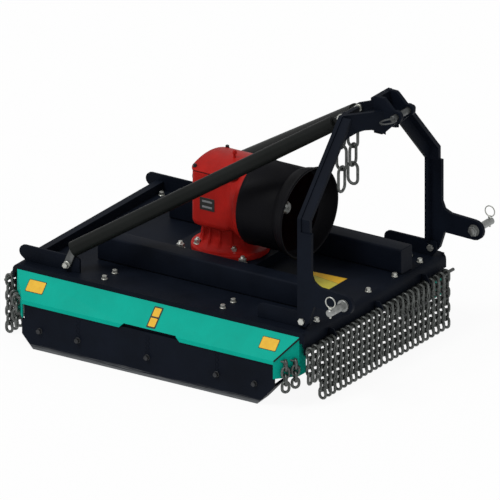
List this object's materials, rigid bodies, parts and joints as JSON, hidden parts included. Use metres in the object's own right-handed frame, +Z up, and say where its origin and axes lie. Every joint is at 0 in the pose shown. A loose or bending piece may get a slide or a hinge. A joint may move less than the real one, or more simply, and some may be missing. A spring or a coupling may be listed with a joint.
{
  "type": "rotary mulcher",
  "caption": "Three-point-hitch rotary mulcher with a bevel gearbox, swinging blades, side skids and hanging chain curtains.",
  "frame": {"origin": "on the ground under the middle of the machine's overall box", "axes": "+Z up, -Y towards the tractor hitch, +Y to the rear, +X to the machine's left seen from the rear"},
  "size_m": [0.8656, 1.171, 0.848],
  "materials": {
    "black_paint": "satin blue-black paint",
    "tube_paint": "satin dark olive-grey paint",
    "turquoise_paint": "satin turquoise paint",
    "gearbox_paint": "red paint over a cast skin",
    "zinc_plate": "bright zinc plate",
    "chain_steel": "dull zinc-plated chain",
    "ground_steel": "ground steel",
    "blade_steel": "hot-rolled steel with ground edges",
    "guard_plastic": "matt black plastic",
    "seal_rubber": "black rubber"
  },
  "bodies": {
    "frame": {"deck_plate": "black_paint", "rear_rail": "black_paint", "gearbox_base_plate": "black_paint", "mast_frame": "black_paint", "side_hood_left": "turquoise_paint", "skid_left": "black_paint", "side_wall_left": "black_paint", "deck_beam_left": "black_paint", "rear_bracket_left": "black_paint", "front_bracket_left": "black_paint", "brace_left": "tube_paint", "brace_lower_bolt_left": "zinc_plate", "brace_upper_bolt_left": "zinc_plate", "mast_foot_bolt_left": "zinc_plate", "hitch_pin_left": "zinc_plate", "side_hood_right": "turquoise_paint", "skid_right": "black_paint", "side_wall_right": "black_paint", "deck_beam_right": "black_paint", "rear_bracket_right": "black_paint", "front_bracket_right": "black_paint", "brace_right": "tube_paint", "brace_lower_bolt_right": "zinc_plate", "brace_upper_bolt_right": "zinc_plate", "mast_foot_bolt_right": "zinc_plate", "hitch_pin_right": "zinc_plate", "gearbox_housing": "gearbox_paint", "gearbox_cover": "gearbox_paint", "breather_plug": "zinc_plate", "drive_guard": "guard_plastic", "input_front_bearing": "ground_steel", "input_rear_bearing": "ground_steel", "input_seal": "seal_rubber", "output_lower_bearing": "ground_steel", "output_upper_bearing": "ground_steel", "output_seal": "seal_rubber"},
    "rotor": {"output_shaft": "ground_steel", "output_pinion": "ground_steel", "rotor_disc": "black_paint", "rotor_nut": "zinc_plate", "blade_bolt_1": "zinc_plate", "blade_bolt_2": "zinc_plate", "blade_bolt_3": "zinc_plate", "blade_bolt_4": "zinc_plate"},
    "input_drive": {"input_shaft": "ground_steel", "crown_wheel": "ground_steel"},
    "blade_1": {"blade_1": "blade_steel"},
    "blade_2": {"blade_2": "blade_steel"},
    "blade_3": {"blade_3": "blade_steel"},
    "blade_4": {"blade_4": "blade_steel"},
    "front_chains": {"front_chains": "chain_steel"},
    "rear_chains": {"rear_chains": "chain_steel"},
    "top_link_pin": {"top_link_pin": "zinc_plate"},
    "lynch_pin_left": {"lynch_pin_left": "zinc_plate"},
    "lynch_pin_right": {"lynch_pin_right": "zinc_plate"},
    "support_chain": {"support_chain": "chain_steel"}
  },
  "joints": [
    {"name": "rotor_spin", "type": "hinge", "parent": "frame", "child": "rotor", "pos_m": [0, 0.0685, 0.1], "axis": [0, 0, 1], "continuous": true},
    {"name": "input_spin", "type": "hinge", "parent": "frame", "child": "input_drive", "pos_m": [0, 0.0685, 0.4205], "axis": [0, 1, 0], "continuous": true},
    {"name": "blade_1_swing", "type": "hinge", "parent": "rotor", "child": "blade_1", "pos_m": [0.11667, 0.18517, 0.09], "axis": [0, 0, 1], "range_deg": [-110, 110]},
    {"name": "blade_2_swing", "type": "hinge", "parent": "rotor", "child": "blade_2", "pos_m": [-0.11667, 0.18517, 0.09], "axis": [0, 0, 1], "range_deg": [-110, 110]},
    {"name": "blade_3_swing", "type": "hinge", "parent": "rotor", "child": "blade_3", "pos_m": [-0.11667, -0.04817, 0.09], "axis": [0, 0, 1], "range_deg": [-110, 110]},
    {"name": "blade_4_swing", "type": "hinge", "parent": "rotor", "child": "blade_4", "pos_m": [0.11667, -0.04817, 0.09], "axis": [0, 0, 1], "range_deg": [-110, 110]},
    {"name": "front_chains_swing", "type": "hinge", "parent": "frame", "child": "front_chains", "pos_m": [0, -0.4525, 0.172], "axis": [1, 0, 0], "range_deg": [-60, 12]},
    {"name": "rear_chains_swing", "type": "hinge", "parent": "frame", "child": "rear_chains", "pos_m": [0, 0.5745, 0.172], "axis": [1, 0, 0], "range_deg": [-12, 60]},
    {"name": "top_link_pin_pull", "type": "slide", "parent": "frame", "child": "top_link_pin", "axis": [-1, 0, 0], "range_m": [0, 0.11]},
    {"name": "lynch_pin_left_pull", "type": "slide", "parent": "frame", "child": "lynch_pin_left", "axis": [0, 0, 1], "range_m": [0, 0.04]},
    {"name": "lynch_pin_right_pull", "type": "slide", "parent": "frame", "child": "lynch_pin_right", "axis": [0, 0, 1], "range_m": [0, 0.04]},
    {"name": "support_chain_swing", "type": "hinge", "parent": "frame", "child": "support_chain", "pos_m": [-0.068, -0.3921, 0.75], "axis": [0, 1, 0], "range_deg": [-20, 40]}
  ],
  "couplings": [
    {"joint": "input_spin", "follows": "rotor_spin", "ratio": -0.66667}
  ]
}
